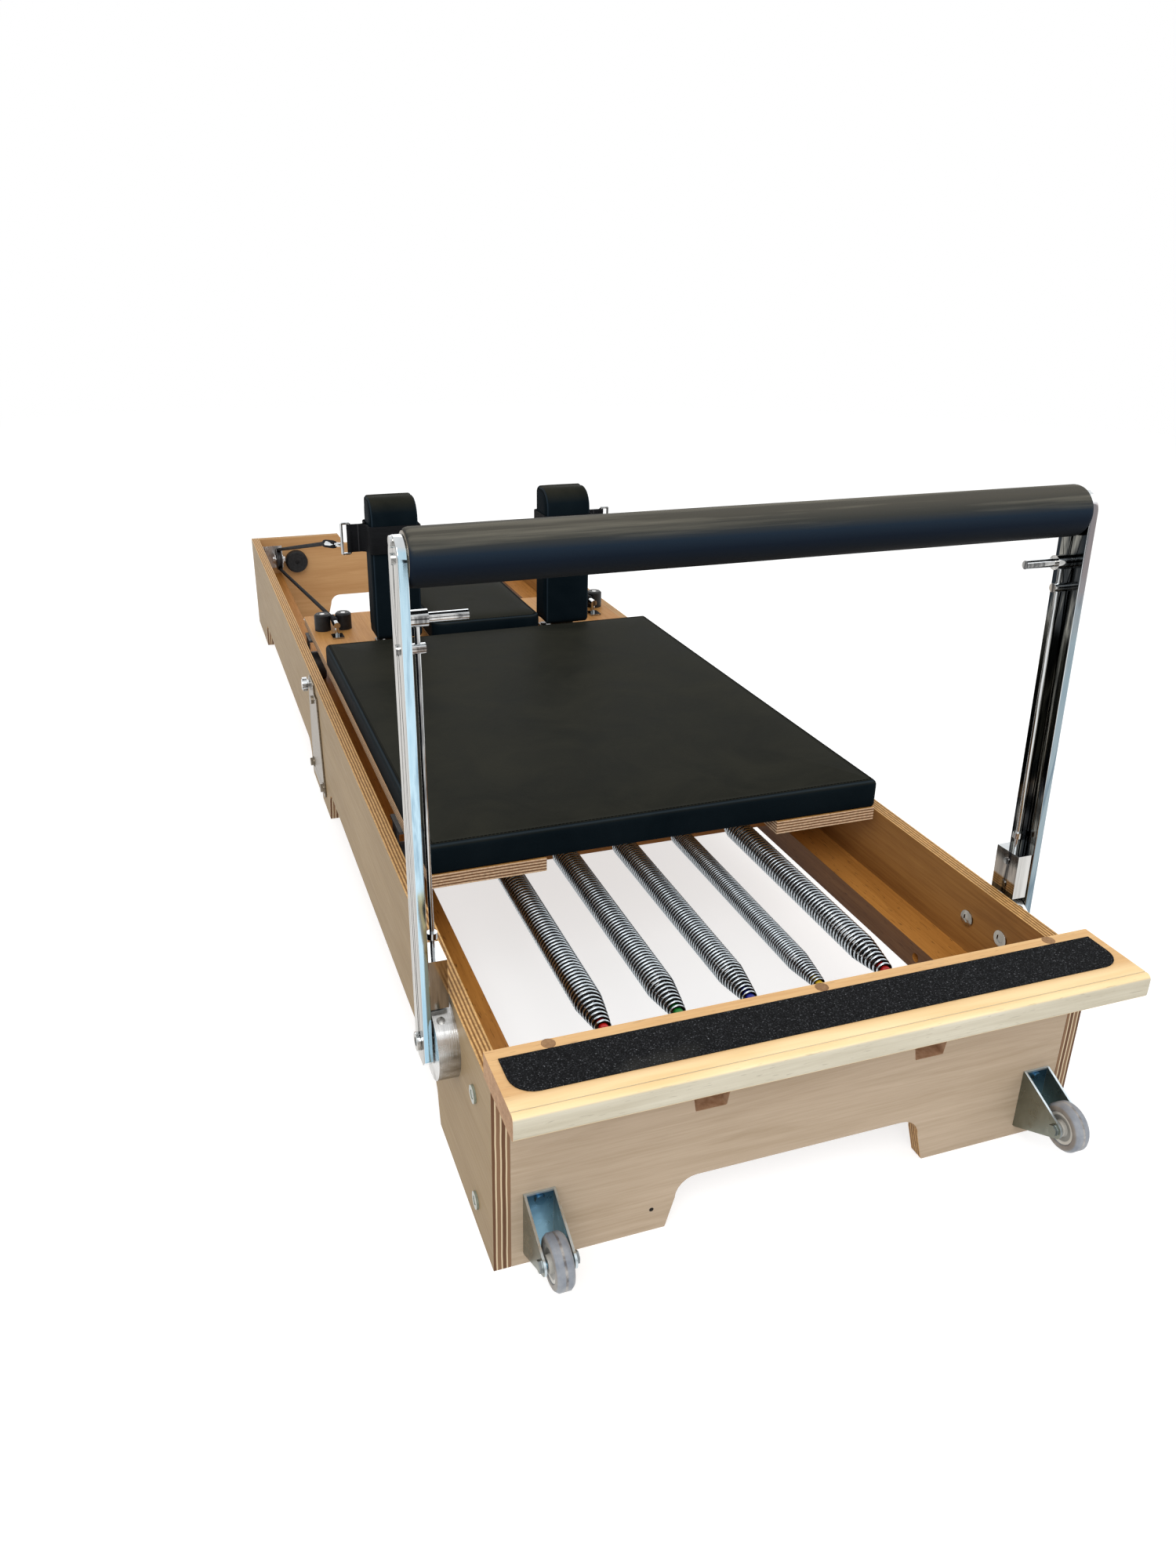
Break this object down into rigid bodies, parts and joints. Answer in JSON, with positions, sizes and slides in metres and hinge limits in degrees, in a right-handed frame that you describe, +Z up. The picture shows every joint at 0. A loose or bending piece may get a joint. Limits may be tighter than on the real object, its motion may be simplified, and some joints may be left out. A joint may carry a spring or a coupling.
{
  "type": "folding pilates reformer",
  "caption": "Low wooden pilates reformer that folds in half, with an upright padded footbar, a spring-loaded sliding carriage with shoulder rests and headrest, and pull ropes over pulleys.",
  "frame": {"origin": "on the floor, under the middle of the whole outline", "axes": "+X to the right seen from the foot end, +Y from the foot end (footbar) to the rope end, +Z up"},
  "size_m": [0.7546, 2.395, 0.7052],
  "materials": {
    "ply_outer": "satin",
    "ply_front": "satin",
    "beam_wood": "satin",
    "inner_wood": "satin",
    "platform_wood": "satin",
    "grip": "rough",
    "chrome": "polished",
    "steel": "brushed",
    "zinc": "satin",
    "spring_steel": "satin",
    "vinyl": "satin",
    "sleeve": "satin",
    "black_rubber": "matte",
    "webbing": "woven",
    "rope": "braided",
    "tyre_grey": "matte",
    "hub_white": "satin",
    "wheel_plastic": "satin",
    "post_black": "satin"
  },
  "bodies": {
    "front_frame": {"front_rail_left": "ply_outer", "front_rail_right": "ply_outer", "front_panel": "ply_front", "spring_beam": "beam_wood", "front_tie": "inner_wood", "standing_platform": "platform_wood", "platform_grip": "grip", "front_tracks": "inner_wood", "index_discs": "chrome", "frame_bolts": "chrome", "spring_hooks": "steel", "caster_brackets": "zinc", "spring_red_left": "spring_steel", "spring_green": "spring_steel", "spring_blue": "spring_steel", "spring_yellow": "spring_steel", "spring_red_right": "spring_steel"},
    "rear_frame": {"rear_rail_left": "ply_outer", "rear_rail_right": "ply_outer", "rear_panel": "ply_front", "rear_tie": "inner_wood", "rear_tracks": "inner_wood", "rear_bumpers": "black_rubber", "pulley_brackets": "steel", "rope_upper": "rope", "rope_lower": "rope"},
    "fold_plates": {"fold_plate_left": "steel", "fold_plate_right": "steel", "fold_bolts": "steel"},
    "lock_knob_left": {"lock_knob_left": "chrome"},
    "lock_knob_right": {"lock_knob_right": "chrome"},
    "caster_wheel_left": {"caster_tyre_left": "tyre_grey", "caster_hub_left": "hub_white"},
    "caster_wheel_right": {"caster_tyre_right": "tyre_grey", "caster_hub_right": "hub_white"},
    "pulley_left": {"pulley_left": "wheel_plastic"},
    "pulley_right": {"pulley_right": "wheel_plastic"},
    "carriage": {"carriage_board": "inner_wood", "carriage_pad": "vinyl", "carriage_battens": "inner_wood", "wheel_brackets": "zinc", "shoulder_posts": "post_black", "shoulder_rest_left": "vinyl", "shoulder_rest_right": "vinyl", "rope_guides": "black_rubber", "rope_fittings": "chrome", "rest_straps": "webbing", "headrest_hinge": "steel"},
    "headrest": {"headrest_board": "inner_wood", "headrest_pad": "vinyl"},
    "carriage_wheels_front": {"carriage_wheels_front": "wheel_plastic"},
    "carriage_wheels_rear": {"carriage_wheels_rear": "wheel_plastic"},
    "footbar": {"footbar_arm_left": "chrome", "footbar_arm_right": "chrome", "bar_tube": "steel", "bar_sleeve": "sleeve", "lock_blocks": "chrome", "footbar_bolts": "chrome"},
    "release_left": {"release_left": "chrome"},
    "release_right": {"release_right": "chrome"}
  },
  "joints": [
    {"name": "fold", "type": "hinge", "parent": "front_frame", "child": "fold_plates", "pos_m": [0, -0.0195, 0.042], "axis": [-1, 0, 0], "range_deg": [0, 90]},
    {"name": "fold_link", "type": "hinge", "parent": "fold_plates", "child": "rear_frame", "pos_m": [0, 0.1045, 0.042], "axis": [-1, 0, 0], "range_deg": [0, 90]},
    {"name": "lock_knob_left_turn", "type": "hinge", "parent": "fold_plates", "child": "lock_knob_left", "pos_m": [-0.35, 0.0765, 0.207], "axis": [1, 0, 0], "continuous": true},
    {"name": "lock_knob_right_turn", "type": "hinge", "parent": "fold_plates", "child": "lock_knob_right", "pos_m": [0.35, 0.0765, 0.207], "axis": [1, 0, 0], "continuous": true},
    {"name": "caster_roll_left", "type": "hinge", "parent": "front_frame", "child": "caster_wheel_left", "pos_m": [-0.293, -1.1705, 0.0565], "axis": [1, 0, 0], "continuous": true},
    {"name": "caster_roll_right", "type": "hinge", "parent": "front_frame", "child": "caster_wheel_right", "pos_m": [0.293, -1.1705, 0.0565], "axis": [1, 0, 0], "continuous": true},
    {"name": "pulley_turn_left", "type": "hinge", "parent": "rear_frame", "child": "pulley_left", "pos_m": [-0.279, 1.1425, 0.178], "axis": [1, 0, 0], "continuous": true},
    {"name": "pulley_turn_right", "type": "hinge", "parent": "rear_frame", "child": "pulley_right", "pos_m": [0.279, 1.1425, 0.178], "axis": [1, 0, 0], "continuous": true},
    {"name": "carriage_slide", "type": "slide", "parent": "front_frame", "child": "carriage", "axis": [0, 1, 0], "range_m": [0, 0.7685], "stiffness_N_per_m": 300, "deforming": ["spring_red_left", "spring_green", "spring_blue", "spring_yellow", "spring_red_right", "rope_upper", "rope_lower"]},
    {"name": "front_wheels_roll", "type": "hinge", "parent": "carriage", "child": "carriage_wheels_front", "pos_m": [0, -0.5475, 0.1603], "axis": [1, 0, 0], "continuous": true},
    {"name": "rear_wheels_roll", "type": "hinge", "parent": "carriage", "child": "carriage_wheels_rear", "pos_m": [0, 0.3125, 0.1603], "axis": [1, 0, 0], "continuous": true},
    {"name": "headrest_tilt", "type": "hinge", "parent": "carriage", "child": "headrest", "pos_m": [0, 0.0945, 0.248], "axis": [1, 0, 0], "range_deg": [0, 35]},
    {"name": "footbar_tilt", "type": "hinge", "parent": "front_frame", "child": "footbar", "pos_m": [0, -0.9575, 0.175], "axis": [1, 0, 0], "range_deg": [-60, 90]},
    {"name": "release_left_pull", "type": "slide", "parent": "footbar", "child": "release_left", "axis": [0, 0.0349, 0.9994], "range_m": [-0.014, 0], "stiffness_N_per_m": 300, "springref_m": -0.014},
    {"name": "release_right_pull", "type": "slide", "parent": "footbar", "child": "release_right", "axis": [0, 0.0349, 0.9994], "range_m": [-0.014, 0], "stiffness_N_per_m": 300, "springref_m": -0.014}
  ],
  "couplings": [
    {"joint": "fold_link", "follows": "fold", "ratio": 1},
    {"joint": "front_wheels_roll", "follows": "carriage_slide", "rad_per_m": -35.714},
    {"joint": "rear_wheels_roll", "follows": "carriage_slide", "rad_per_m": -35.714}
  ]
}
